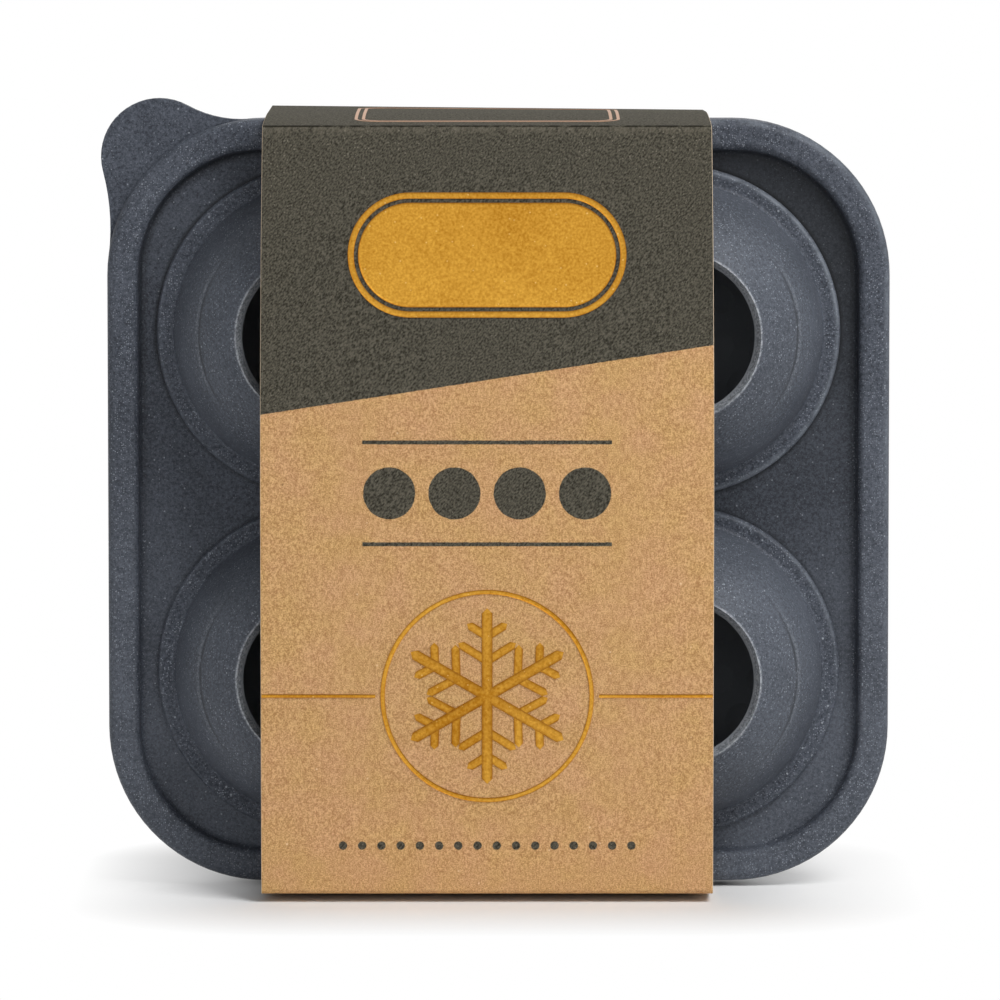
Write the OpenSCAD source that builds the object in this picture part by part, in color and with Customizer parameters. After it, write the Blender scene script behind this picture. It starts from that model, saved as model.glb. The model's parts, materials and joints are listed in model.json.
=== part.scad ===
// Ice ball mould for four balls: a silicone lid pressed on a silicone base tray,
// standing on edge in a printed card sleeve, with the lid's fill holes to the front.
// Millimetres. +Z is up, -Y is the front, and the halves part at y = 0.

/* [Ice balls] */
// Diameter of one ice ball
ball_d = 50; // [40:0.5:56]
// Distance between ball centres, side to side
pitch_x = 63; // [60:0.5:66]
// Distance between ball centres, up and down
pitch_z = 61; // [59.5:0.5:64]
// Width of a dimple at the ball's surface
dimple_d = 6.4; // [5:0.1:7]
// Depth of a dimple
dimple_depth = 0.55; // [0.3:0.05:0.8]
// Angle from the parting plane to the first ring of dimples
first_ring_angle = 11.5; // [10:0.1:12]
// Angle between one ring of dimples and the next
ring_step_angle = 18.3; // [17.5:0.1:18.5]

/* [Silicone halves] */
// Width of the mould, without the tab
mould_w = 140; // [138:0.5:150]
// Height of the mould, without the tab
mould_h = 137; // [136:0.5:146]
// Radius of the mould's four corners
corner_r = 28; // [22:0.5:34]
// Wall of the domes and cups
wall = 2; // [1.6:0.1:2.4]
// Thickness of the flat web of each half
web_t = 3; // [2:0.1:3.6]
// Half-angle of a fill hole, seen from the ball's centre
fill_angle = 33.5; // [26:0.5:33.5]
// Radius of the low round pad that each dome stands on
pad_r = 29.7; // [28.5:0.1:30]
// Height of that pad above the web
pad_h = 1.6; // [0.8:0.1:2.4]
// Rounding of the pad's upper edge
pad_round = 0.7; // [0.3:0.1:0.8]
// Fillet where a dome meets its pad, and where a cup meets its web
dome_fillet = 0.9; // [0.5:0.1:1.5]
// Diameter of the flat foot under each cup
foot_d = 18; // [12:0.5:22]
// Height of the foot below the cup's round bottom
foot_h = 0.4; // [0.2:0.1:1]

/* [Rim and seal] */
// Width of the rim band round each half
rim_w = 5.6; // [5:0.1:6.4]
// Height of the lid's rim above the parting plane
rim_h = 6; // [5:0.1:8]
// Depth of the base's rim below the parting plane
base_rim_h = 4.4; // [4:0.1:6]
// Rounding of the rim's outer edge
rim_round = 1.8; // [1:0.1:2.4]
// Rounding of the rim's inner edge
rim_inner_round = 1.4; // [0.5:0.1:2]
// Fillet where the rim's inner side meets the web
rim_fillet = 1.2; // [0.5:0.1:1.4]
// Width of the sealing bead on the base
bead_w = 2.4; // [1.6:0.1:2.6]
// Height of the sealing bead above the parting plane
bead_h = 2.6; // [1.5:0.1:2.8]
// Room around the bead in the lid's groove
seal_clear = 0.3; // [0.15:0.05:0.4]

/* [Pull tab] */
// Radius of the tab's round lobe
tab_r = 10.4; // [8:0.1:12]
// Lobe centre to the left of the corner's centre
tab_left = 18.7; // [17:0.1:20]
// Lobe centre above the corner's centre
tab_rise = 21.2; // [19:0.1:23]
// Radius of the blend into the top edge
tab_blend_top = 20; // [16:0.5:24]
// Radius of the blend into the left edge
tab_blend_side = 40; // [30:0.5:46]
// Thickness of the tab
tab_t = 3; // [2:0.1:3.6]

/* [Card sleeve] */
// Width of the sleeve, side to side
sleeve_w = 80; // [60:0.5:82]
// Sleeve's middle to the right of the mould's middle, negative to the left
sleeve_shift = -2; // [-2:0.1:6]
// Thickness of the card
card_t = 0.5; // [0.3:0.05:0.8]
// Room between the card and the mould's edges and feet
card_clear = 0.5; // [0.3:0.05:0.8]
// Room between the domes and the front of the sleeve
front_slack = 4.1; // [3.9:0.1:6]
// Inside radius of the folds
fold_r = 0.6; // [0.3:0.1:1]
// Height of the glued lap on the back
lap_h = 18; // [10:0.5:30]

/* [Hidden] */
$fn = 96;

silicone = [0.25, 0.27, 0.31];
kraft = [0.77, 0.60, 0.41];

ball_r = ball_d / 2;
dome_r = ball_r + wall;
dome_top = dome_r * cos(fill_angle);
foot_depth = dome_r + foot_h;
// A dimple is a cap of this sphere, and the sphere's centre lies outside the ball
dimple_r = (pow(dimple_d / 2, 2) + pow(dimple_depth, 2)) / (2 * dimple_depth);
dimple_centre = ball_r - dimple_depth + dimple_r;
ring_angles = concat([for (a = [first_ring_angle : ring_step_angle : 90 - ring_step_angle]) a], [90]);
ring_pitch = ball_r * ring_step_angle * PI / 180;

groove_w = bead_w + 2 * seal_clear;
groove_h = bead_h + seal_clear;
// The web reaches this far under the rim's inner wall
web_inset = rim_w - (rim_w - groove_w) / 4;

mould_mid_z = card_t + card_clear + mould_h / 2;
corner_x = mould_w / 2 - corner_r;
corner_y = mould_h / 2 - corner_r;
centres = [for (sx = [-1, 1], sy = [-1, 1]) [sx * pitch_x / 2, sy * pitch_z / 2]];

sleeve_front = dome_top + front_slack;
sleeve_back = foot_depth + card_clear;
sleeve_depth = sleeve_front + sleeve_back;
sleeve_inner_h = mould_h + 2 * card_clear;
// A cut runs this far past the face that it opens
past = 1;

// Centre of a circle at distance a from p and b from q, on the left of the way from p to q
function apart(p, q, a, b) =
    let (d = norm(q - p), u = (q - p) / d, along = (a * a - b * b + d * d) / (2 * d))
    p + along * u + sqrt(a * a - along * along) * [-u[1], u[0]];

// The halves are drawn lying flat, with the lid above z = 0, and then stood on edge
module stand() {
    translate([0, 0, mould_mid_z]) rotate([90, 0, 0]) children();
}

module at_balls() {
    for (c = centres) translate([c[0], c[1], 0]) children();
}

// Rounded rectangle of the mould's outline, drawn in by an inset
module outline(inset) {
    r = corner_r - inset;
    square([mould_w - 2 * inset, 2 * corner_y], center = true);
    square([2 * corner_x, mould_h - 2 * inset], center = true);
    for (sx = [-1, 1], sy = [-1, 1]) translate([sx * corner_x, sy * corner_y]) circle(r);
}

// Carries a profile round the outline: its x = 0 is the outer edge and its y is the height
module round_the_edge() {
    for (k = [0 : 3]) {
        across = k % 2 == 0 ? mould_w : mould_h;
        straight = k % 2 == 0 ? 2 * corner_y : 2 * corner_x;
        rotate([0, 0, 90 * k]) {
            translate([across / 2, 0, 0]) rotate([90, 0, 0])
                linear_extrude(straight, center = true) children();
            translate([across / 2 - corner_r, straight / 2, 0])
                rotate_extrude(angle = 90) translate([corner_r, 0]) children();
        }
    }
}

// Rim band of a given height with its two upper edges rounded and a fillet down to the web
module rim_band(h) {
    translate([-rim_w - rim_fillet, web_t - past]) difference() {
        square([rim_fillet + past, past + rim_fillet]);
        translate([0, past + rim_fillet]) circle(rim_fillet);
    }
    inner = rim_w - rim_inner_round;
    translate([-rim_w, 0]) square([rim_w - rim_round, h - rim_inner_round]);
    translate([-inner, 0]) square([inner, h - rim_round]);
    translate([-inner, 0]) square([inner - rim_round, h]);
    translate([-inner, h - rim_inner_round]) circle(rim_inner_round);
    translate([-rim_round, h - rim_round]) circle(rim_round);
}

module lid_rim_profile() {
    difference() {
        rim_band(rim_h);
        translate([-(rim_w + groove_w) / 2, -past]) square([groove_w, groove_h + past]);
    }
}

module base_rim_profile() {
    mirror([0, 1]) rim_band(base_rim_h);
    translate([-(rim_w + bead_w) / 2, -base_rim_h / 2]) square([bead_w, base_rim_h / 2 + bead_h - bead_w / 2]);
    translate([-rim_w / 2, bead_h - bead_w / 2]) circle(bead_w / 2);
}

// One ring of dimple spheres at an angle above the parting plane
module dimple_ring(angle) {
    count = max(1, floor(2 * PI * ball_r * cos(angle) / ring_pitch));
    for (i = [0 : count - 1])
        rotate([0, -angle, (i + (count % 2) / 2) * 360 / count]) translate([dimple_centre, 0, 0]) sphere(dimple_r);
}

// Half an ice ball with its dimples: what both halves are hollowed with
module half_ball() {
    difference() {
        sphere(ball_r);
        for (a = ring_angles) dimple_ring(a);
    }
}

// Section of a dome that rises from a flat at some level, with a fillet at its foot
module dome_section(level) {
    fillet = [sqrt(pow(dome_r + dome_fillet, 2) - pow(level + dome_fillet, 2)), level + dome_fillet];
    intersection() {
        circle(dome_r);
        square(dome_r);
    }
    difference() {
        polygon([[0, level], fillet * dome_r / norm(fillet), fillet, [fillet[0], level]]);
        translate(fillet) circle(dome_fillet);
    }
}

// Section of a disc with its upper edge rounded
module disc_section(r, top, edge) {
    square([r, top - edge]);
    square([r - edge, top]);
    translate([r - edge, top - edge]) circle(edge);
}

module pull_tab() {
    corner = [-corner_x, corner_y];
    lobe = corner + [-tab_left, tab_rise];
    top = apart(lobe, corner, tab_r + tab_blend_top, corner_r + tab_blend_top);
    side = apart(corner, lobe, corner_r + tab_blend_side, tab_r + tab_blend_side);
    linear_extrude(tab_t) difference() {
        union() {
            translate(lobe) circle(tab_r);
            polygon([corner, side, lobe, top]);
        }
        translate(top) circle(tab_blend_top);
        translate(side) circle(tab_blend_side);
        translate(corner) circle(corner_r - rim_w / 5);
    }
}

module lid() {
    color(silicone) stand() difference() {
        union() {
            round_the_edge() lid_rim_profile();
            linear_extrude(web_t) outline(web_inset);
            pull_tab();
            at_balls() rotate_extrude() {
                disc_section(pad_r, web_t + pad_h, pad_round);
                dome_section(web_t + pad_h);
            }
        }
        at_balls() half_ball();
        at_balls() cylinder(r1 = 0, r2 = 2 * dome_r * tan(fill_angle), h = 2 * dome_r);
    }
}

module base_tray() {
    color(silicone) stand() difference() {
        union() {
            round_the_edge() base_rim_profile();
            translate([0, 0, -web_t]) linear_extrude(web_t) outline(web_inset);
            at_balls() mirror([0, 0, 1]) rotate_extrude() dome_section(web_t);
            at_balls() translate([0, 0, -foot_depth]) cylinder(d = foot_d, h = foot_depth - ball_r);
        }
        at_balls() mirror([0, 0, 1]) half_ball();
    }
}

// Frame of the folded card, seen along its open ends: x is the depth and y is the height
module folded_card() {
    difference() {
        fold_round(sleeve_depth + 2 * card_t, sleeve_inner_h + 2 * card_t, fold_r + card_t);
        fold_round(sleeve_depth, sleeve_inner_h, fold_r);
    }
    translate([sleeve_depth / 2 + card_t / 2, -lap_h / 2]) square([1.5 * card_t, lap_h]);
}

module fold_round(w, h, r) {
    square([w - 2 * r, h], center = true);
    square([w, h - 2 * r], center = true);
    for (sx = [-1, 1], sy = [-1, 1]) translate([sx * (w / 2 - r), sy * (h / 2 - r)]) circle(r);
}

module card_sleeve() {
    color(kraft) translate([sleeve_shift, (sleeve_back - sleeve_front) / 2, mould_mid_z])
        rotate([90, 0, 90]) linear_extrude(sleeve_w, center = true) folded_card();
}

base_tray();
lid();
card_sleeve();
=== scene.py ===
"""Looks of a silicone ice ball mould that stands on edge in its printed card sleeve."""
import json
import math

import bpy
import numpy as np
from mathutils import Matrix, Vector


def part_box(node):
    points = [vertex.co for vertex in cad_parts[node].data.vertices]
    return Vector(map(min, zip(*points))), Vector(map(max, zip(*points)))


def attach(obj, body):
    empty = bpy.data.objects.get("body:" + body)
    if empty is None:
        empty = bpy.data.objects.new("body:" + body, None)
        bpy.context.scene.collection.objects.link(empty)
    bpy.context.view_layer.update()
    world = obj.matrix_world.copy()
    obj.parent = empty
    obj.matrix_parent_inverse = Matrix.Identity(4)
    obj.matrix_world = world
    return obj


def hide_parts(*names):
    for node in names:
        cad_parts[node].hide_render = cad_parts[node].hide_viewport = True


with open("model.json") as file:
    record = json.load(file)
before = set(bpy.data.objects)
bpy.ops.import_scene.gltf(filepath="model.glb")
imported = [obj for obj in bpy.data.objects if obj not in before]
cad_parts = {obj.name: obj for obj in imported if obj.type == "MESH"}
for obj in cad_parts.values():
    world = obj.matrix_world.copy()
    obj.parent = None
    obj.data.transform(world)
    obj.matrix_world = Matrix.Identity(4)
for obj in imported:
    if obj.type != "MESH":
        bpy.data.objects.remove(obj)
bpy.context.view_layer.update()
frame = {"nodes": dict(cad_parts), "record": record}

MM = 0.001

# Camera: the photograph's long lens, a little above the mould
CAMERA_DISTANCE = 1.3
CAMERA_ELEVATION = math.radians(4.6)
PIXELS_PER_MM = 5.557
FRAME_PIXELS = 1000
AIM_PIXEL = (498.5, 499.0)
SENSOR_MM = 36.0

# Card sleeve: the top and bottom panels lie on the mould's rim and draw in towards the front folds
CARD_T = 0.5 * MM
CARD_CHAMFER = 0.07 * MM
FOLD_R = 0.85 * MM
PANEL_BOW = 0.45 * MM
RIM_BACK = 4.7 * MM
FRONT_TOP_DROP = 1.65 * MM
FRONT_BOTTOM_DROP = 1.6 * MM
DROP_POWER = 1.6
BACK_RISE = 0.15 * MM
BACK_SKEW = 0.4 * MM
TOP_DRAW = 0.0145
BOTTOM_DRAW = 0.001
LAP_H = 18 * MM
LAP_RUN = 12 * MM
LAP_SHADE = (0.2 * MM, 0.35 * MM)
SHARP_ANGLE = math.radians(40)

# Print on the sleeve, measured from its middle and its bottom face
DARK_EDGE_Z = 92.7 * MM
DARK_EDGE_SLOPE = 0.1542
BAND_DISC_R = 4.6 * MM
BAND_DISC_STEP = 11.5 * MM
BAND_Z = 72.7 * MM
BAND_RULE_GAP = 9.0 * MM
BAND_RULE_HALF = 22.0 * MM
BAND_RULE_W = 0.7 * MM
DOT_R = 0.75 * MM
DOT_STEP = 3.4 * MM
DOT_Z = 10.2 * MM
DOT_ROW_HALF = 8 * DOT_STEP
INK_GRAIN_LEAN = math.radians(38)
PRINT_DEPTH = 4 * MM
PRINT_EDGE = 0.12 * MM
PRINT_RAGGED = 0.2 * MM
SCUFF_W = 1.3 * MM

# Gold foil pressed into the sleeve: edges stand up, the rest lies low
FOIL_T = 0.04 * MM
FOIL_SINK = 0.05 * MM
PRESS_LIFT = 0.11 * MM
PRESS_W = 0.4 * MM
PLAQUE_Z = 114.7 * MM
PLAQUE_HALF_W = 24.5 * MM
PLAQUE_HALF_H = 11.0 * MM
PLAQUE_BORDER_W = 1.1 * MM
PLAQUE_GAP = 0.7 * MM
RING_Z = 36.8 * MM
RING_R = 18.85 * MM
RING_W = 0.8 * MM
RULE_W = 0.6 * MM
RULE_GAP = 0.9 * MM
FLAKE_ARM = 15.6 * MM
FLAKE_W = 1.9 * MM
FLAKE_TWIG_W = 1.5 * MM
FLAKE_TWIGS = ((0.40, 6.0 * MM), (0.68, 4.2 * MM))
FLAKE_TWIG_LEAN = math.radians(58)
TOP_BORDER_HALF_W = 23.5 * MM
TOP_BORDER_HALF_D = 21.0 * MM
TOP_BORDER_R = 5.0 * MM
TOP_BORDER_W = 0.55 * MM
TOP_BORDER_STEP = 1.3 * MM

# Silicone details on the lid: radii are from a dome's axis, and insets from the mould's outline
CREASE_R = 21.6 * MM
CREASE_HALF_W = 0.3 * MM
CREASE_HALF_ANGLE = math.radians(32)
CREASE_FADE = math.radians(30)
# Where the painted highlight beside the crease runs
CREASE_HIGHLIGHT_R = CREASE_R + 0.5 * MM
CREASE_HIGHLIGHT_HALF_W = 0.4 * MM
CUT_FACE = (13.6 * MM, 15.0 * MM)
CUT_FACE_Y = -19.5 * MM
LIP_HALF_W = 0.3 * MM
CAVITY_R = 25.5 * MM
WEB_FACE = 3.8 * MM
LID_FRONT_Y = -2.0 * MM
PAD_FRONT_Y = -4.0 * MM
RIM_FRONT_Y = -4.6 * MM
DOME_FRONT_Y = -5.0 * MM
CORNER_AT = (42.0 * MM, 40.5 * MM)
CORNER_R = 28.0 * MM
RIM_W = 5.6 * MM
PAD_R = 29.7 * MM
DOME_R = 27.0 * MM
# Bands of painted shade inside the rim and round the pads, and of painted highlight on the pad and rim edges
RIM_SHADE = (RIM_W + 0.4 * MM, 1.2 * MM)
RIM_SHADE_DEPTH = 5.2 * MM
PAD_SHADE = (PAD_R + 0.2 * MM, 0.6 * MM)
PAD_EDGE = (PAD_R - 0.45 * MM, 0.75 * MM)
RIM_EDGE = (0.5 * MM, 0.7 * MM)
CRISP = 0.2 * MM
SOFT = 0.8 * MM

# Stage
FLOOR_HALF = 30.0
FOOTPRINT_HALF = (0.036, 0.03)
FLOOR_SHADOW_REACH = 0.022
FLOOR_SHADOW_FADE = 1.6 * FLOOR_SHADOW_REACH
FILL_LEVEL = 0.06
LAMP_SIZE = 0.6
SOFTBOXES = {
    "key": ((0.55, -0.65, 1.05), 12.6),
    "back": ((0.0, 0.7, 0.9), 0.9),
    "left": ((-0.95, -0.9, 0.3), 2.0),
    "right": ((0.95, -0.9, 0.3), 2.0),
    "front": ((0.0, -1.5, 0.3), 2.8),
    "rear": ((0.5, 1.35, 0.55), 7.5),
}


# Shader expressions


class Field:
    """A value socket of a node tree. Arithmetic on it adds Math nodes."""

    def __init__(self, tree, socket):
        self.tree = tree
        self.socket = socket

    def math(self, operation, *others, clamp=False):
        node = self.tree.nodes.new("ShaderNodeMath")
        node.operation = operation
        node.use_clamp = clamp
        for socket, value in zip(node.inputs, (self, *others)):
            plug(self.tree, socket, value)
        return Field(self.tree, node.outputs[0])

    def __add__(self, other):
        return self.math("ADD", other)

    __radd__ = __add__

    def __sub__(self, other):
        return self.math("SUBTRACT", other)

    def __rsub__(self, other):
        return constant(self.tree, other).math("SUBTRACT", self)

    def __mul__(self, other):
        return self.math("MULTIPLY", other)

    __rmul__ = __mul__

    def __truediv__(self, other):
        return self.math("DIVIDE", other)

    def __abs__(self):
        return self.math("ABSOLUTE")

    def clamped(self):
        return self.math("ADD", 0.0, clamp=True)

    def below(self, edge, soft):
        """1 where the field is under edge, 0 above it, over a soft step."""
        return ((edge - self) / soft + 0.5).clamped()

    def above(self, edge, soft):
        """1 where the field is over edge, 0 below it, over a soft step."""
        return ((self - edge) / soft + 0.5).clamped()

    def near(self, place, half_width):
        """1 at a place, falling evenly to 0 at a half width from it."""
        return (1 - abs(self - place) / half_width).clamped()

    def most(self, other):
        return self.math("MAXIMUM", other)

    def root(self):
        return self.math("SQRT")


def constant(tree, number):
    """A number as a field, for the left side of a subtraction."""
    node = tree.nodes.new("ShaderNodeValue")
    node.outputs[0].default_value = number
    return Field(tree, node.outputs[0])


def plug(tree, socket, value):
    """Links a field to a socket, or sets a plain number or colour on it."""
    if isinstance(value, Field):
        tree.links.new(value.socket, socket)
    else:
        socket.default_value = value


class Finish:
    """A material under construction: its tree, its shader and the object's own coordinates."""

    def __init__(self, name, **sockets):
        self.material = bpy.data.materials.new(name)
        self.material.use_nodes = True
        self.tree = self.material.node_tree
        self.shader = self.tree.nodes["Principled BSDF"]
        for socket, value in sockets.items():
            self.shader.inputs[socket.replace("_", " ")].default_value = value
        self.place = self.add("ShaderNodeTexCoord").outputs["Object"]
        parts = self.add("ShaderNodeSeparateXYZ", Vector=Field(self.tree, self.place))
        self.x, self.y, self.z = (Field(self.tree, parts.outputs[k]) for k in range(3))

    def add(self, kind, settings=None, **sockets):
        """A new node of a kind, its settings first and then its sockets' values or links."""
        node = self.tree.nodes.new(kind)
        for key, value in (settings or {}).items():
            setattr(node, key, value)
        for socket, value in sockets.items():
            plug(self.tree, node.inputs[socket.replace("_", " ")], value)
        return node

    def stretched(self, scale, lean=0.0):
        """The object's coordinates leaned about the depth and then scaled by three numbers."""
        node = self.add("ShaderNodeMapping", {"vector_type": "TEXTURE"},
                        Vector=Field(self.tree, self.place), Rotation=(0.0, lean, 0.0),
                        Scale=tuple(1 / s for s in scale))
        return Field(self.tree, node.outputs[0])

    def noise(self, scale, detail=2.0, place=None):
        """Noise about 0.5 at a scale in cells per metre."""
        vector = place or Field(self.tree, self.place)
        node = self.add("ShaderNodeTexNoise", Vector=vector, Scale=scale, Detail=detail)
        return Field(self.tree, node.outputs["Factor" if "Factor" in node.outputs else "Fac"])

    def specks(self, scale, size, share):
        """1 inside round specks: a share of the cells of a grid of scale cells per metre holds one."""
        node = self.add("ShaderNodeTexVoronoi", Vector=Field(self.tree, self.place), Scale=scale)
        parts = self.add("ShaderNodeSeparateColor", Color=Field(self.tree, node.outputs["Color"]))
        chosen = Field(self.tree, parts.outputs[0]).below(share, 0.02)
        reach = Field(self.tree, parts.outputs[1]) * size
        return Field(self.tree, node.outputs["Distance"]).below(reach, 0.08) * chosen

    def mix(self, mask, first, second):
        """The first colour where the mask is 0 and the second where it is 1."""
        node = self.add("ShaderNodeMix", {"data_type": "RGBA"})
        plug(self.tree, node.inputs[0], mask)
        plug(self.tree, node.inputs[6], first)
        plug(self.tree, node.inputs[7], second)
        return Field(self.tree, node.outputs[2])

    def bump(self, height, strength, distance):
        node = self.add("ShaderNodeBump", Height=height)
        node.inputs["Strength"].default_value = strength
        node.inputs["Distance"].default_value = distance
        self.tree.links.new(node.outputs[0], self.shader.inputs["Normal"])

    def set(self, socket, field):
        plug(self.tree, self.shader.inputs[socket], field)


def srgb(r, g, b):
    """An 8-bit sRGB colour as linear RGBA."""
    shares = (r / 255, g / 255, b / 255)
    return (*(c / 12.92 if c <= 0.04045 else ((c + 0.055) / 1.055) ** 2.4 for c in shares), 1.0)


# Colours of the silicone
SILICONE_LOW = srgb(47, 51, 59)
SILICONE_HIGH = srgb(88, 93, 103)
FINE_SPECK = srgb(150, 156, 166)
COARSE_SPECK = srgb(172, 178, 186)
CUT_GREY = srgb(158, 162, 167)
LIP_GREY = srgb(178, 182, 188)
# Painted shade in the crease, and a painted highlight beside it
CREASE_SHADE_BLACK = srgb(28, 29, 33)
CREASE_HIGHLIGHT_GREY = srgb(150, 155, 162)
# Painted shade in the recesses, and painted light low down in them
RECESS_SHADE_BLACK = srgb(24, 26, 28)
RECESS_LIGHT_GREY = srgb(112, 117, 126)
SHADE_BLACK = srgb(20, 21, 23)
# Painted light on the domes and on the lower rim
PAINTED_LIGHT_GREY = srgb(150, 156, 164)
# Painted highlight on the edges of the pads and the rim
EDGE_HIGHLIGHT_GREY = srgb(134, 141, 150)
# Painted light inside the ball's cavity
CAVITY_LIGHT_GREY = srgb(138, 142, 148)

# Colours of the card and its ink
KRAFT_LOW = (srgb(168, 127, 80), srgb(172, 127, 87))
KRAFT_HIGH = (srgb(214, 175, 120), srgb(216, 173, 128))
KRAFT_DARK_SPECK = srgb(84, 56, 32)
KRAFT_PALE_SPECK = srgb(234, 208, 172)
RAW_CARD = srgb(238, 224, 200)
INK_LOW = srgb(46, 44, 37)
INK_HIGH = srgb(98, 94, 83)
INK_SPECK = srgb(138, 132, 119)
INK_RUBBED = srgb(112, 107, 94)
SCORE_BLACK = srgb(30, 28, 22)
# Painted shadow under the lap's cut edge
LAP_SHADOW_BROWN = srgb(84, 60, 36)

# Colours of the foils
GOLD_LOW = srgb(172, 114, 26)
GOLD_HIGH = srgb(226, 172, 70)
GOLD_BRIGHT_SPECK = srgb(248, 214, 140)
GOLD_DARK_SPECK = srgb(116, 72, 18)
# Painted shade at the foil's pressed edges
GOLD_EDGE_SHADE = srgb(120, 66, 14)
COPPER_LOW = srgb(150, 106, 74)
COPPER_HIGH = srgb(186, 138, 98)


# Places taken from the frame

sleeve_low, sleeve_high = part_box("card_sleeve")
sleeve_mid_x = (sleeve_low.x + sleeve_high.x) / 2
sleeve_half_h = (sleeve_high.z - sleeve_low.z) / 2
back_panel_y = sleeve_high.y - CARD_T
mould_mid_z = (sleeve_low.z + sleeve_high.z) / 2
openings = frame["record"]["physics"]["openings"]
fill_holes = [o["box_m"] for o in openings if o["name"].startswith("fill_hole")]
ball_x = max((low[0] + high[0]) / 2 for low, high in fill_holes)
ball_z = max((low[2] + high[2]) / 2 for low, high in fill_holes) - mould_mid_z


# Finishes


def silicone():
    """Dark blue-grey satin silicone, mottled and finely speckled, marked at its domes, with painted shade and
    light at its rim, recesses, domes and cavity.
    """
    f = Finish("silicone", Specular_IOR_Level=0.2)
    mottle = f.noise(1900, 2.0)
    grain = f.noise(4200, 1.0)
    out = abs(f.x) - ball_x
    up = abs(f.z - mould_mid_z) - ball_z
    radius = (out * out + up * up).root()
    base = speckled(f, mottle, grain)
    base, crease = dome_marks(f, base, radius, abs(up.math("ARCTAN2", out)))
    base = rim_shades(f, base, radius)
    # The domes painted paler, as light on them
    dome = radius.below(DOME_R, 1.0 * MM) * f.y.below(DOME_FRONT_Y, 1.0 * MM)
    base = f.mix(dome * 0.07, base, PAINTED_LIGHT_GREY)
    # The inside of the ball's cavity painted paler, as light in the hollow
    from_ball = (out * out + up * up + f.y * f.y).root()
    base = f.mix(from_ball.below(CAVITY_R, 0.3 * MM) * 0.85, base, CAVITY_LIGHT_GREY)
    f.set("Base Color", base)
    f.set("Roughness", 0.42 + mottle * 0.2)
    f.bump(mottle * 0.5 + grain * 0.4 - crease * 1.2, 0.26, 0.12 * MM)
    return f.material


def speckled(f, mottle, grain):
    """The silicone's own colour: a fine mottle in faint clouds, clumped fine specks and a few coarse ones."""
    tone = mottle * 0.45 + f.noise(70, 2.0) * 0.2 + grain * 0.35
    base = f.mix(tone.above(0.5, 0.24), SILICONE_LOW, SILICONE_HIGH)
    clumps = 0.4 + f.noise(180, 2.0).above(0.5, 0.25) * 0.6
    base = f.mix(f.specks(2900, 0.44, 0.5) * clumps * 0.7, base, FINE_SPECK)
    return f.mix(f.specks(1100, 0.22, 0.14) * 0.6, base, COARSE_SPECK)


def dome_marks(f, base, radius, turn):
    """Marks round each dome's axis: the pale trimmed face and lip of its fill hole, and a crease in painted
    shade.

    The crease is an arc on the dome's outer side, painted dark as shade and broken by noise, with a painted
    highlight in fine patches just outside it. Its mask comes back with the colour.
    """
    on_top = f.y.below(CUT_FACE_Y, 0.3 * MM)
    on_lid = f.y.below(LID_FRONT_Y, CRISP)
    crumb = f.noise(2300, 2.0).above(0.5, 0.16)
    face = radius.above(CUT_FACE[0], CRISP) * radius.below(CUT_FACE[1], CRISP) * on_top
    base = f.mix(face * (0.3 + crumb * 0.6), base, CUT_GREY)
    lip = radius.near(CUT_FACE[1], LIP_HALF_W) * on_top
    base = f.mix(lip * (0.25 + crumb * 0.65), base, LIP_GREY)
    crease = radius.near(CREASE_R, CREASE_HALF_W) * turn.below(CREASE_HALF_ANGLE, CREASE_FADE) * on_lid
    crease = crease * f.noise(420, 2.0).above(0.34, 0.2)
    # Painted shade in the crease
    base = f.mix(crease * 0.9, base, CREASE_SHADE_BLACK)
    # Painted highlight just outside the crease, in fine patches
    crease_highlight = radius.near(CREASE_HIGHLIGHT_R, CREASE_HIGHLIGHT_HALF_W) * turn.below(CREASE_HALF_ANGLE, 0.3) * on_lid
    return f.mix(crease_highlight * crumb * 0.35, base, CREASE_HIGHLIGHT_GREY), crease


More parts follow.
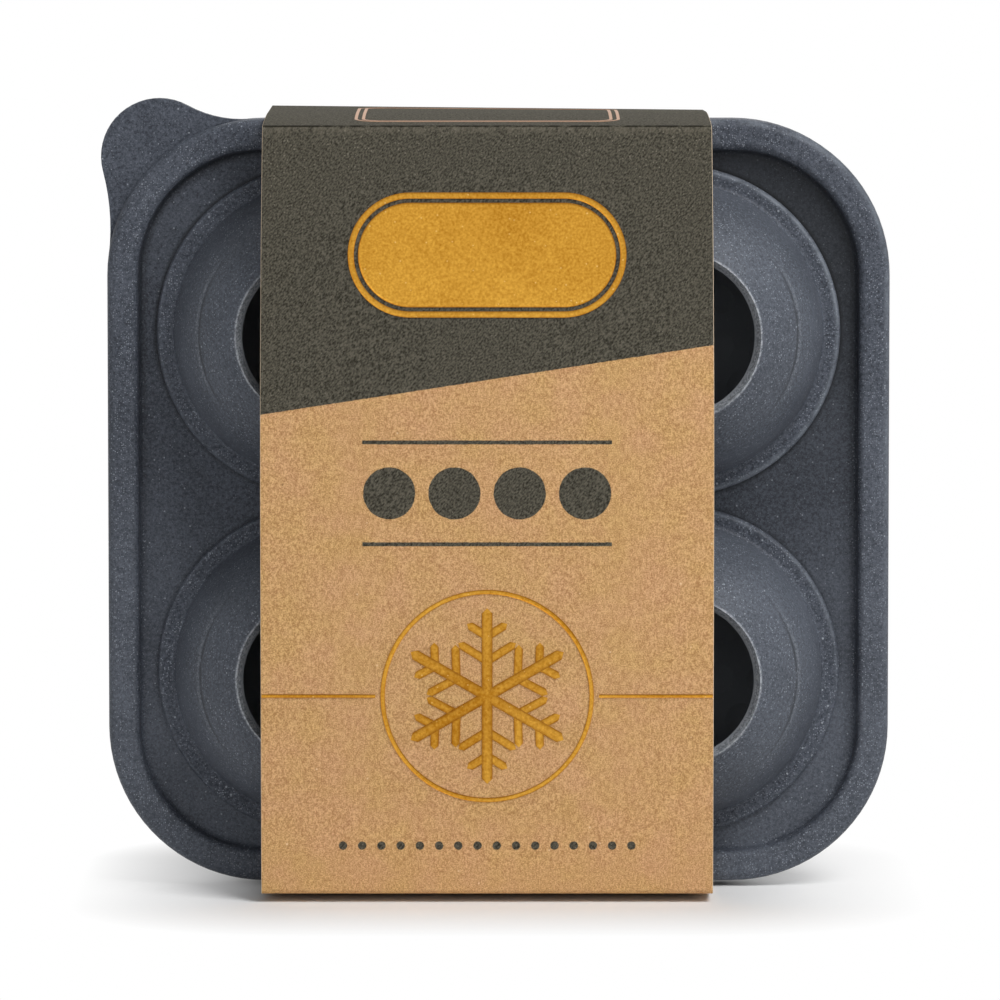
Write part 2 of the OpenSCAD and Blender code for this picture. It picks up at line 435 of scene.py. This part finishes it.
def rim_shades(f, base, radius):
    """Painted shade and light by the mould's outline.

    Recesses and corners are painted dark as shade, most of all towards the top right, and paler as light in
    their lower half. Painted shade runs inside the rim and round the pads. The rim is painted paler as light
    towards the bottom, and the edges of the pads and the rim get a painted highlight in patches, strongest at
    the top right.
    """
    beyond_x = (abs(f.x) - CORNER_AT[0]).most(0.0)
    beyond_z = (abs(f.z - mould_mid_z) - CORNER_AT[1]).most(0.0)
    inset = CORNER_R - (beyond_x * beyond_x + beyond_z * beyond_z).root()
    height = ((f.z - mould_mid_z) / (2 * CORNER_AT[1]) + 0.5).clamped()
    right = (f.x / (2 * CORNER_AT[0]) + 0.5).clamped()
    low = abs(f.y).below(WEB_FACE, SOFT)
    recess = inset.above(RIM_W + 0.6 * MM, 1.0 * MM) * low
    # Painted shade in the recesses, strongest towards the top right, and painted light in their lower half
    base = f.mix(recess * (0.02 + height * (0.22 + right * 0.5)), base, RECESS_SHADE_BLACK)
    base = f.mix(recess * (1 - height * 2).clamped() * 0.2, base, RECESS_LIGHT_GREY)
    # Painted shade along the inside of the rim and round the pads, strongest towards the top
    by_rim = inset.near(*RIM_SHADE) * abs(f.y).below(RIM_SHADE_DEPTH, SOFT)
    by_pad = radius.near(*PAD_SHADE) * f.y.below(0.0, CRISP) * low
    base = f.mix(by_rim.most(by_pad) * (0.06 + height * 0.68), base, SHADE_BLACK)
    # The rim painted paler towards the bottom, as light
    low_rim_light = inset.below(RIM_W - 0.6 * MM, SOFT) * f.y.below(RIM_FRONT_Y, 0.6 * MM) * (1 - height)
    base = f.mix(low_rim_light * 0.07, base, PAINTED_LIGHT_GREY)
    # Painted highlight on the pad and rim edges, in noisy patches and strongest at the top right
    patchy = f.noise(300, 2.0).above(0.42, 0.3) * f.y.below(PAD_FRONT_Y, 0.3 * MM)
    edges = radius.near(*PAD_EDGE).most(inset.near(*RIM_EDGE) * 0.7) * patchy
    return f.mix(edges * (0.06 + height * right * 0.5), base, EDGE_HIGHLIGHT_GREY)


def kraft_tone(f):
    """Kraft card: brown, evenly grainy, with warmer and yellower clouds and a few dark and pale specks."""
    fibre = f.noise(1700, 3.0, f.stretched((1.3, 1.3, 0.8)))
    fine = f.noise(4200, 1.0)
    patch = f.noise(160, 2.0)
    tone = fibre * 0.4 + fine * 0.6
    low = f.mix(patch.above(0.5, 0.4), *KRAFT_LOW)
    high = f.mix(patch.above(0.5, 0.4), *KRAFT_HIGH)
    base = f.mix(tone.above(0.5, 0.25), low, high)
    base = f.mix(f.specks(420, 0.1, 0.06) * 0.7, base, KRAFT_DARK_SPECK)
    base = f.mix(f.specks(560, 0.12, 0.07) * 0.7, base, KRAFT_PALE_SPECK)
    return base, fibre, fine


def raw_card():
    """The unprinted inside and the cut edges of the card."""
    f = Finish("raw_card", Specular_IOR_Level=0.2)
    base, fibre, fine = kraft_tone(f)
    base = f.mix(0.65, base, RAW_CARD)
    f.set("Base Color", base)
    f.set("Roughness", 0.82 + fine * 0.12)
    f.bump(fibre * 0.5 + fine * 0.5, 0.25, 0.08 * MM)
    return f.material


def printed_card():
    """The outside of the card: dark print above a slanting edge, a few dark marks on bare kraft below, and a
    painted shadow under the lap's cut edge.
    """
    f = Finish("printed_card", Specular_IOR_Level=0.045)
    base, fibre, fine = kraft_tone(f)
    across = f.x - sleeve_mid_x
    ragged = (f.noise(1400, 2.0) - 0.5) * PRINT_RAGGED
    dark = (f.z - across * DARK_EDGE_SLOPE + ragged).above(DARK_EDGE_Z, PRINT_EDGE)
    ink = dark.most(front_marks(f, across, ragged))
    pebble = f.noise(2500, 2.0, f.stretched((1.35, 1.0, 0.85), INK_GRAIN_LEAN))
    ink_colour = f.mix(pebble.above(0.5, 0.36), INK_LOW, INK_HIGH)
    ink_colour = f.mix(f.specks(1700, 0.26, 0.3) * 0.5, ink_colour, INK_SPECK)
    scuff, score = top_fold(f)
    ink_colour = f.mix(scuff * 0.4, ink_colour, INK_RUBBED)
    base = f.mix(ink, base, ink_colour)
    base = f.mix(score * 0.9, base, SCORE_BLACK)
    # Painted shadow along the underside of the lap's cut edge
    lap_z = mould_mid_z - LAP_H / 2
    under_lap = f.z.near(lap_z - LAP_SHADE[0], LAP_SHADE[1]) * f.y.above(back_panel_y - 0.3 * MM, PRINT_EDGE)
    base = f.mix(under_lap * 0.6, base, LAP_SHADOW_BROWN)
    f.set("Base Color", base)
    f.set("Roughness", 0.74 + fine * 0.16 - ink * 0.06)
    f.bump(fibre * 0.3 + fine * 0.4 + pebble * ink * 0.6 - score, 0.4, 0.08 * MM)
    return f.material


def front_marks(f, across, ragged):
    """Plain dark marks on the front: a row of discs between two rules, and a row of dots near the bottom."""
    front = f.y.below(sleeve_low.y + PRINT_DEPTH, PRINT_EDGE)
    height = f.z - BAND_Z
    disc = row_of_discs(across, height, ragged, BAND_DISC_STEP, BAND_DISC_R)
    disc = disc * abs(across).below(2 * BAND_DISC_STEP, PRINT_EDGE)
    rule = (abs(abs(height) - BAND_RULE_GAP) + ragged).below(BAND_RULE_W / 2, PRINT_EDGE)
    rule = rule * abs(across).below(BAND_RULE_HALF, PRINT_EDGE)
    dot = row_of_discs(across, f.z - DOT_Z, ragged, DOT_STEP, DOT_R)
    dot = dot * abs(across).below(DOT_ROW_HALF, PRINT_EDGE)
    return disc.most(rule).most(dot) * front


def row_of_discs(across, height, ragged, step, radius):
    """1 inside the discs of an endless row: the way across is taken from the middle of each step."""
    place = ((across / step).math("FRACT") - 0.5) * step
    return ((place * place + height * height).root() + ragged).below(radius, PRINT_EDGE)


def top_fold(f):
    """Two masks at the front fold of the top: scuffed ink just under it, and the broken line of its score."""
    fold_z = sleeve_high.z - FRONT_TOP_DROP
    behind = f.y - sleeve_low.y
    patchy = f.noise(900, 3.0).above(0.46, 0.3)
    scuff = f.z.above(fold_z - SCUFF_W, SCUFF_W) * behind.below(0.35 * FOLD_R, 0.3 * MM) * patchy
    broken = f.noise(520, 2.0).above(0.42, 0.2)
    on_top = f.z.above(fold_z - FOLD_R, CRISP)
    score = behind.above(0.32 * FOLD_R, PRINT_EDGE) * behind.below(1.1 * FOLD_R, PRINT_EDGE)
    return scuff, score * on_top * broken


def gold_foil():
    """Hot-stamped gold foil with the card's grain, bright and dark flecks, broad clouds of painted reflection
    and painted shade at the pressed edges.
    """
    f = Finish("gold_foil", Metallic=1.0)
    grain = f.noise(2300, 2.0)
    # Broad clouds of painted reflection in the gold's tone; the same noise also feeds the bump
    cloud = f.noise(34, 1.0)
    tone = grain * 0.45 + cloud * 0.55
    base = f.mix(tone.above(0.5, 0.32), GOLD_LOW, GOLD_HIGH)
    base = f.mix(f.specks(1100, 0.2, 0.2) * 0.5, base, GOLD_BRIGHT_SPECK)
    base = f.mix(f.specks(900, 0.16, 0.12) * 0.5, base, GOLD_DARK_SPECK)
    # Painted shade where the foil's pressed edges stand up
    press = Field(f.tree, f.add("ShaderNodeAttribute", {"attribute_name": "press"}).outputs["Fac"])
    base = f.mix(press * 0.7, base, GOLD_EDGE_SHADE)
    f.set("Base Color", base)
    f.set("Roughness", 0.3 + grain * 0.16)
    f.bump(grain + cloud * 0.6, 0.2, 0.1 * MM)
    return f.material


def copper_foil():
    """The duller line foil on the sleeve's top."""
    f = Finish("copper_foil", Metallic=1.0)
    grain = f.noise(1600, 2.0)
    f.set("Base Color", f.mix(grain.above(0.5, 0.5), COPPER_LOW, COPPER_HIGH))
    f.set("Roughness", 0.34 + grain * 0.14)
    f.bump(grain, 0.2, 0.1 * MM)
    return f.material


# Meshes worked out as grids


def put_mesh(name, points, quads, materials, face_slots=None, smooth=True):
    """An object from arrays of points and quads and its materials, with sharp edges where faces turn most."""
    mesh = bpy.data.meshes.new(name)
    mesh.from_pydata(points.tolist(), [], quads.tolist())
    for material in materials:
        mesh.materials.append(material)
    if face_slots is not None:
        mesh.polygons.foreach_set("material_index", np.asarray(face_slots, np.int32))
    mesh.polygons.foreach_set("use_smooth", np.full(len(mesh.polygons), smooth))
    mesh.update()
    mesh.set_sharp_from_angle(angle=SHARP_ANGLE)
    thing = bpy.data.objects.new(name, mesh)
    bpy.context.scene.collection.objects.link(thing)
    return thing


def grid_quads(rows, columns, closed_rows=False, closed_columns=False):
    """Quads of a grid of rows by columns, closed on itself one way or the other where asked."""
    r = np.arange(rows if closed_rows else rows - 1)
    c = np.arange(columns if closed_columns else columns - 1)
    r, c = (a.ravel() for a in np.meshgrid(r, c, indexing="ij"))
    r2, c2 = (r + 1) % rows, (c + 1) % columns
    return np.stack([r * columns + c, r2 * columns + c, r2 * columns + c2, r * columns + c2], 1)


def outward(points, quads):
    """The quads of a closed solid, turned over if their signed volume says that they face inwards."""
    a, b, c, d = (points[quads[:, k]] for k in range(4))
    volume = np.sum(a * np.cross(b, c)) + np.sum(a * np.cross(c, d))
    return quads if volume > 0 else quads[:, ::-1]


def arc(centre, radius, start, end, count):
    """Points on an arc between two angles in degrees."""
    t = np.radians(np.linspace(start, end, count))
    return np.stack([centre[0] + radius * np.cos(t), centre[1] + radius * np.sin(t)], 1)


def between(start, end, count):
    """Points on a line between two points, without those two."""
    return start + (end - start) * np.linspace(0, 1, count + 2)[1:-1, None]


def smooth_step(t):
    t = np.clip(t, 0, 1)
    return t * t * (3 - 2 * t)


# The folded card


def back_skew(x, y, z):
    """How far the top panel stands higher at its left back corner, and lower at its right back corner."""
    left = (sleeve_mid_x - x) / (sleeve_high.x - sleeve_low.x) * 2
    behind = np.clip((y - RIM_BACK) / (back_panel_y - RIM_BACK), 0, 1)
    return BACK_SKEW * left * behind * np.clip((z - mould_mid_z) / sleeve_half_h, 0, 1)


def drawn_in(x, z):
    """The place across the sleeve, drawn to its middle by the square of the way to the top or bottom."""
    way = (z - mould_mid_z) / sleeve_half_h
    draw = np.where(way > 0, TOP_DRAW, BOTTOM_DRAW)
    return sleeve_mid_x + (x - sleeve_mid_x) * (1 - draw * way ** 2)


def front_bow(x, z):
    """How far the front panel stands proud: a low pillow that dies out at the folds and the open ends."""
    u = 1 - np.abs(x - sleeve_mid_x) / (sleeve_high.x - sleeve_low.x) * 2
    v = 1 - np.abs(z - mould_mid_z) / sleeve_half_h
    return PANEL_BOW * (0.35 + 0.65 * smooth_step(u)) * smooth_step(3 * v)


def fold_drop(y, front_drop, back_rise):
    """How far the top or bottom panel is drawn in at a depth.

    Nothing over the rim's back edge, then by a power of the way to the front fold, and straight the other way
    to the back fold.
    """
    ahead = np.clip((RIM_BACK - y) / (RIM_BACK - sleeve_low.y), 0, 1)
    behind = np.clip((y - RIM_BACK) / (back_panel_y - RIM_BACK), 0, 1)
    return front_drop * ahead ** DROP_POWER - back_rise * behind


def sleeve_loop(inset):
    """The folded card's section in y and z, drawn in by an inset, and the row where the glued lap ends.

    Four panels joined by round folds. The upper back panel rises by one card to lie over the lower one, down
    to the lap's cut edge. All heights then shrink about the middle by the fall of the top and bottom panels.
    """
    y0, y1 = sleeve_low.y + inset, back_panel_y - inset
    z0, z1 = sleeve_low.z + inset, sleeve_high.z - inset
    r = FOLD_R - inset
    front_top = arc((y0 + r, z1 - r), r, 180, 90, 9)
    back_top = arc((y1 - r, z1 - r), r, 90, 0, 9)
    back_bottom = arc((y1 - r, z0 + r), r, 0, -90, 9)
    front_bottom = arc((y0 + r, z0 + r), r, -90, -180, 9)
    top = between(front_top[-1], back_top[0], 20)
    bottom = between(back_bottom[-1], front_bottom[0], 20)
    front = between(front_bottom[-1], front_top[0], 34)

    outside = inset < CARD_T
    lap_low = mould_mid_z - LAP_H / 2
    over_z = np.linspace(z1 - r, lap_low + (0 if outside else CARD_T), 34)[1:]
    under_z = np.linspace(lap_low - (0 if outside else CARD_T), z0 + r, 16)[:-1]
    rise = CARD_T * outside * smooth_step((mould_mid_z + LAP_H / 2 + LAP_RUN - over_z) / LAP_RUN)
    over = np.stack([y1 + rise, over_z], 1)
    under = np.stack([np.full(len(under_z), y1), under_z], 1)

    loop = np.concatenate([front_top, top, back_top, over, under, back_bottom, bottom, front_bottom, front])
    up = loop[:, 1] - mould_mid_z
    drop = np.where(up > 0, fold_drop(loop[:, 0], FRONT_TOP_DROP, BACK_RISE),
                    fold_drop(loop[:, 0], FRONT_BOTTOM_DROP, 0.0))
    loop[:, 1] = mould_mid_z + up * (1 - drop / sleeve_half_h)
    lap_end = sum(len(run) for run in (front_top, top, back_top, over)) - 1
    return loop, lap_end


def card_wrap(print_finish, raw_finish):
    """The sleeve: the card seen edge-on, with chamfered cut ends, carried round the folded section."""
    columns = 41
    outer_x = np.linspace(sleeve_low.x + CARD_CHAMFER, sleeve_high.x - CARD_CHAMFER, columns)
    inner_x = np.linspace(sleeve_high.x, sleeve_low.x, columns)
    x = np.concatenate([outer_x, [sleeve_high.x], inner_x, [sleeve_low.x]])
    inset = np.concatenate([np.zeros(columns), [CARD_CHAMFER], np.full(columns, CARD_T), [CARD_CHAMFER]])
    loops = [sleeve_loop(depth)[0] for depth in inset]
    y, z = (np.stack([loop[:, k] for loop in loops], 1) for k in range(2))
    x = np.repeat(x[None], len(y), 0)
    y, z = y - np.where(y < sleeve_low.y + 2 * FOLD_R, front_bow(x, z), 0), z + back_skew(x, y, z)
    points = np.stack([drawn_in(x, z), y, z], 2).reshape(-1, 3)
    quads = grid_quads(*x.shape, closed_rows=True, closed_columns=True)
    row, column = np.divmod(np.arange(len(quads)), x.shape[1])
    bare = (column >= columns - 1) | (row == sleeve_loop(0.0)[1])
    return put_mesh("card_wrap", points, outward(points, quads), [print_finish, raw_finish], bare)


# Foil on the card


def mark_press(sheet, press):
    """Keeps how far each point stands up at a pressed edge, from 0 to 1, for the foil's finish to read."""
    marks = sheet.data.attributes.new("press", "FLOAT", "POINT")
    marks.data.foreach_set("value", press.astype(np.float32))


def sheet_solid(name, front, back, finish, closed_columns=False):
    """A closed sheet from a front grid and a back grid of points, with a wall round each open edge."""
    rows, columns = front.shape[:2]
    count = rows * columns
    skin = grid_quads(rows, columns, closed_columns=closed_columns)
    index = np.arange(count).reshape(rows, columns)
    if closed_columns:
        rings = np.concatenate([index, index[:, :1]], 1)
        edges = [rings[0], rings[-1, ::-1]]
    else:
        edges = [np.concatenate([index[0, :-1], index[:-1, -1], index[-1, :0:-1], index[::-1, 0]])]
    walls = [np.stack([e[:-1], e[1:], e[1:] + count, e[:-1] + count], 1) for e in edges]
    quads = np.concatenate([skin, skin[:, ::-1] + count, *walls])
    points = np.concatenate([front.reshape(-1, 3), back.reshape(-1, 3)])
    return put_mesh(name, points, outward(points, quads), [finish])


def foil_sheet(name, x, z, lift, finish, closed_columns=False):
    """Foil on the front panel from grids of x, from the sleeve's middle, and z, a lift off the card."""
    x = x + sleeve_mid_x
    card_y = sleeve_low.y - front_bow(x, z)
    front = np.stack([x, card_y - FOIL_T - lift, z], 2)
    back = np.stack([x, card_y + FOIL_SINK, z], 2)
    sheet = sheet_solid(name, front, back, finish, closed_columns)
    press = (lift / PRESS_LIFT).ravel()
    mark_press(sheet, np.concatenate([press, np.ones_like(press)]))
    return sheet


def foil_band(name, outline_in, outline_out, centre_z, finish):
    """A groove of foil between two closed outlines about the sleeve's middle."""
    t = np.linspace(0, 1, 7)[:, None, None]
    grid = outline_in[None] + (outline_out - outline_in)[None] * t
    lift = PRESS_LIFT * (2 * t[..., 0] - 1) ** 2 + np.zeros(grid.shape[:2])
    return foil_sheet(name, grid[..., 0], centre_z + grid[..., 1], lift, finish, closed_columns=True)


def capsule(half_w, half_h):
    """Outline of a capsule about the origin: two half circles joined by two straight sides."""
    run = half_w - half_h
    side = between(np.array([run, half_h]), np.array([-run, half_h]), 30)
    right, left = arc((run, 0), half_h, -90, 90, 40), arc((-run, 0), half_h, 90, 270, 40)
    return np.concatenate([right, side, left, -side])


def plaque(finish):
    """The upper foil: a capsule field inside a capsule border.

    The field is a fan of upright lines whose half height is the radius in the middle and falls on a circle at
    the ends. Its edge stands up over a narrow width.
    """
    inner = capsule(PLAQUE_HALF_W - PLAQUE_BORDER_W, PLAQUE_HALF_H - PLAQUE_BORDER_W)
    outer = capsule(PLAQUE_HALF_W, PLAQUE_HALF_H)
    border = foil_band("plaque_border", inner, outer, PLAQUE_Z, finish)
    inset = PLAQUE_BORDER_W + PLAQUE_GAP
    radius = PLAQUE_HALF_H - inset
    run = PLAQUE_HALF_W - PLAQUE_HALF_H
    turn = np.radians(np.linspace(0.6, 90, 30))
    end_x, end_h = run + radius * np.cos(turn), radius * np.sin(turn)
    x = np.concatenate([-end_x, np.linspace(-run, run, 30)[1:-1], end_x[::-1]])
    half = np.concatenate([end_h, np.full(28, radius), end_h[::-1]])
    share = np.sin(np.radians(np.linspace(-90, 90, 41)))[:, None]
    z = share * half
    x = x + np.zeros_like(z)
    edge = radius - np.hypot(np.clip(np.abs(x) - run, 0, None), z)
    lift = PRESS_LIFT * (1 - smooth_step(edge / PRESS_W))
    return [border, foil_sheet("plaque_field", x, PLAQUE_Z + z, lift, finish)]


def circle_line(radius, count=160):
    return arc((0, 0), radius, 0, 360 - 360 / count, count)


def strip(name, root, turn, starts, ends, width, finish):
    """A straight groove of foil from a root at an angle. Each lengthwise line has its own start and end."""
    along = np.array([math.cos(turn), math.sin(turn)])
    side = np.array([-along[1], along[0]])
    s = np.linspace(-1, 1, len(starts))[:, None]
    t = np.linspace(0, 1, 12)
    reach = np.asarray(starts)[:, None] + np.subtract(ends, starts)[:, None] * t
    grid = root + reach[..., None] * along + (s * width / 2)[..., None] * side
    lift = PRESS_LIFT * s ** 2 + np.zeros(grid.shape[:2])
    return foil_sheet(name, grid[..., 0], grid[..., 1], lift, finish)


def snowflake(finish):
    """Six arms that meet at the middle, each with two pairs of slanting twigs cut flush with its sides."""
    s = np.linspace(-1, 1, 5)
    centre = np.array([0.0, RING_Z])
    half = FLAKE_W / 2
    made = []
    for k in range(6):
        turn = math.radians(60 * k + 90)
        along = np.array([math.cos(turn), math.sin(turn)])
        mitre = np.abs(s) * half / math.tan(math.radians(30))
        made.append(strip(f"arm_{k}", centre, turn, mitre, FLAKE_ARM - np.abs(s) * half, FLAKE_W, finish))
        for place, length in FLAKE_TWIGS:
            for hand in (-1, 1):
                across = hand * s * FLAKE_TWIG_W / 2
                starts = (half - across * math.cos(FLAKE_TWIG_LEAN)) / math.sin(FLAKE_TWIG_LEAN)
                ends = length - np.abs(s) * FLAKE_TWIG_W / 2
                root = centre + along * FLAKE_ARM * place
                name = f"twig_{k}_{round(place * 100)}_{hand}"
                lean = turn + hand * FLAKE_TWIG_LEAN
                made.append(strip(name, root, lean, starts, ends, FLAKE_TWIG_W, finish))
    return made


def foil_rules(finish):
    """A thin rule each side of the ring, out to the sleeve's open ends."""
    half = drawn_in(sleeve_high.x, RING_Z) - sleeve_mid_x - 2 * CARD_CHAMFER
    inner = RING_R + RULE_GAP
    root = np.array([0.0, RING_Z])
    return [strip(f"rule_{name}", root, turn, [inner] * 5, [half] * 5, RULE_W, finish)
            for name, turn in (("right", 0), ("left", math.pi))]


def rounded_border(half_w, half_d, radius):
    """Outline of a rounded rectangle about the origin, with points along its sides."""
    w, d = half_w - radius, half_d - radius
    corners = [arc(centre, radius, start, start + 90, 9)
               for centre, start in (((w, d), 0), ((-w, d), 90), ((-w, -d), 180), ((w, -d), 270))]
    runs = []
    for corner, following in zip(corners, corners[1:] + corners[:1]):
        runs += [corner, between(corner[-1], following[0], 24)]
    return np.concatenate(runs)


def top_border(finish):
    """Two thin foil lines round the sleeve's top panel, which follow its fall to the folds."""
    mid_y = (sleeve_low.y + back_panel_y) / 2
    made = []
    for k in range(2):
        insets = (k * TOP_BORDER_STEP + TOP_BORDER_W, k * TOP_BORDER_STEP)
        sizes = (TOP_BORDER_HALF_W, TOP_BORDER_HALF_D, TOP_BORDER_R)
        grid = np.stack([rounded_border(*(size - inset for size in sizes)) for inset in insets])
        x, y = sleeve_mid_x + grid[..., 0], mid_y + grid[..., 1]
        card_z = sleeve_high.z - fold_drop(y, FRONT_TOP_DROP, BACK_RISE)
        card_z = card_z + back_skew(x, y, card_z)
        front = np.stack([x, y, card_z + FOIL_T], 2)
        back = np.stack([x, y, card_z - FOIL_SINK], 2)
        made.append(sheet_solid(f"top_line_{k}", front, back, finish, closed_columns=True))
    return made


def joined(pieces, name):
    """Several meshes as one object."""
    bpy.ops.object.select_all(action="DESELECT")
    for piece in pieces:
        piece.select_set(True)
    bpy.context.view_layer.objects.active = pieces[0]
    bpy.ops.object.join()
    pieces[0].name = name
    return pieces[0]


def ride_on_sleeve(piece):
    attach(piece, "sleeve")
    return piece


# Stage


def seen_directly(tree):
    """1 for rays from the camera, from gloss and through glass, which see the plain white background."""
    path = tree.nodes.new("ShaderNodeLightPath")
    seen = Field(tree, path.outputs["Is Camera Ray"]).most(Field(tree, path.outputs["Is Glossy Ray"]))
    return seen.most(Field(tree, path.outputs["Is Transmission Ray"]))


def mixed_shader(tree, mask, first, second):
    pick = tree.nodes.new("ShaderNodeMixShader")
    plug(tree, pick.inputs[0], mask)
    tree.links.new(first.outputs[0], pick.inputs[1])
    tree.links.new(second.outputs[0], pick.inputs[2])
    return pick


def pale_floor():
    """A wide pale floor: matt near the mould, where it takes the shadow, and plain white beyond."""
    f = Finish("floor", Base_Color=(0.9, 0.9, 0.9, 1), Roughness=1.0, Specular_IOR_Level=0.0)
    glow = f.add("ShaderNodeEmission", Strength=1.0)
    across = (abs(f.x) - FOOTPRINT_HALF[0]).most(0.0)
    ahead = (abs(f.y) - FOOTPRINT_HALF[1]).most(0.0)
    far = (across * across + ahead * ahead).root().above(FLOOR_SHADOW_REACH, FLOOR_SHADOW_FADE)
    pick = mixed_shader(f.tree, far * seen_directly(f.tree), f.shader, glow)
    f.tree.links.new(pick.outputs[0], f.tree.nodes["Material Output"].inputs["Surface"])
    corners = np.array([[-1, -1, 0], [1, -1, 0], [1, 1, 0], [-1, 1, 0]]) * FLOOR_HALF
    put_mesh("floor", corners, np.array([[0, 1, 2, 3]]), [f.material], smooth=False)


def studio_world():
    """Even pale light all round, behind which the camera, gloss and glass see plain white."""
    world = bpy.data.worlds.new("studio")
    bpy.context.scene.world = world
    world.use_nodes = True
    tree = world.node_tree
    fill = tree.nodes["Background"]
    white = tree.nodes.new("ShaderNodeBackground")
    for background, strength in ((fill, FILL_LEVEL), (white, 1.0)):
        background.inputs["Color"].default_value = (1, 1, 1, 1)
        background.inputs["Strength"].default_value = strength
    pick = mixed_shader(tree, seen_directly(tree), fill, white)
    tree.links.new(pick.outputs[0], tree.nodes["World Output"].inputs["Surface"])


def softbox(name, place, power, mirrored=True):
    """A square area lamp aimed at the mould's middle, which shows in gloss unless it isn't mirrored."""
    lamp = bpy.data.lights.new(name, "AREA")
    lamp.size = LAMP_SIZE
    lamp.energy = power
    holder = bpy.data.objects.new(name, lamp)
    bpy.context.scene.collection.objects.link(holder)
    holder.location = place
    holder.visible_glossy = mirrored
    aim = Vector((0, 0, mould_mid_z)) - Vector(place)
    holder.rotation_euler = aim.to_track_quat("-Z", "Y").to_euler()


def camera():
    """A long lens at the photograph's height, which gives a millimetre at the parting plane its pixels."""
    data = bpy.data.cameras.new("camera")
    data.sensor_width = SENSOR_MM
    seen_width = FRAME_PIXELS / PIXELS_PER_MM * MM
    data.lens = SENSOR_MM * CAMERA_DISTANCE / seen_width
    data.clip_end = 100
    holder = bpy.data.objects.new("camera", data)
    bpy.context.scene.collection.objects.link(holder)
    middle = FRAME_PIXELS / 2
    aim = Vector(((middle - AIM_PIXEL[0]) / PIXELS_PER_MM * MM, 0,
                  mould_mid_z - (middle - AIM_PIXEL[1]) / PIXELS_PER_MM * MM))
    back = Vector((0, -math.cos(CAMERA_ELEVATION), math.sin(CAMERA_ELEVATION)))
    holder.location = aim + back * CAMERA_DISTANCE
    holder.rotation_euler = (-back).to_track_quat("-Z", "Y").to_euler()
    bpy.context.scene.camera = holder


camera()
pale_floor()
studio_world()
for side, (place, power) in SOFTBOXES.items():
    softbox(f"{side}_softbox", place, power, mirrored=side not in ("front", "rear"))

silicone_finish = silicone()
for half in ("lid", "base_tray"):
    node = frame["nodes"][half]
    node.data.materials.clear()
    node.data.materials.append(silicone_finish)

gold = gold_foil()
wrap = card_wrap(printed_card(), raw_card())
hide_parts("card_sleeve")
ride_on_sleeve(wrap)
ride_on_sleeve(joined(plaque(gold), "foil_plaque"))
ring = foil_band("foil_ring", circle_line(RING_R - RING_W), circle_line(RING_R), RING_Z, gold)
ride_on_sleeve(ring)
ride_on_sleeve(joined(snowflake(gold), "foil_snowflake"))
ride_on_sleeve(joined(foil_rules(gold), "foil_rules"))
ride_on_sleeve(joined(top_border(copper_foil()), "foil_top_border"))

bpy.context.scene.view_settings.view_transform = "Standard"
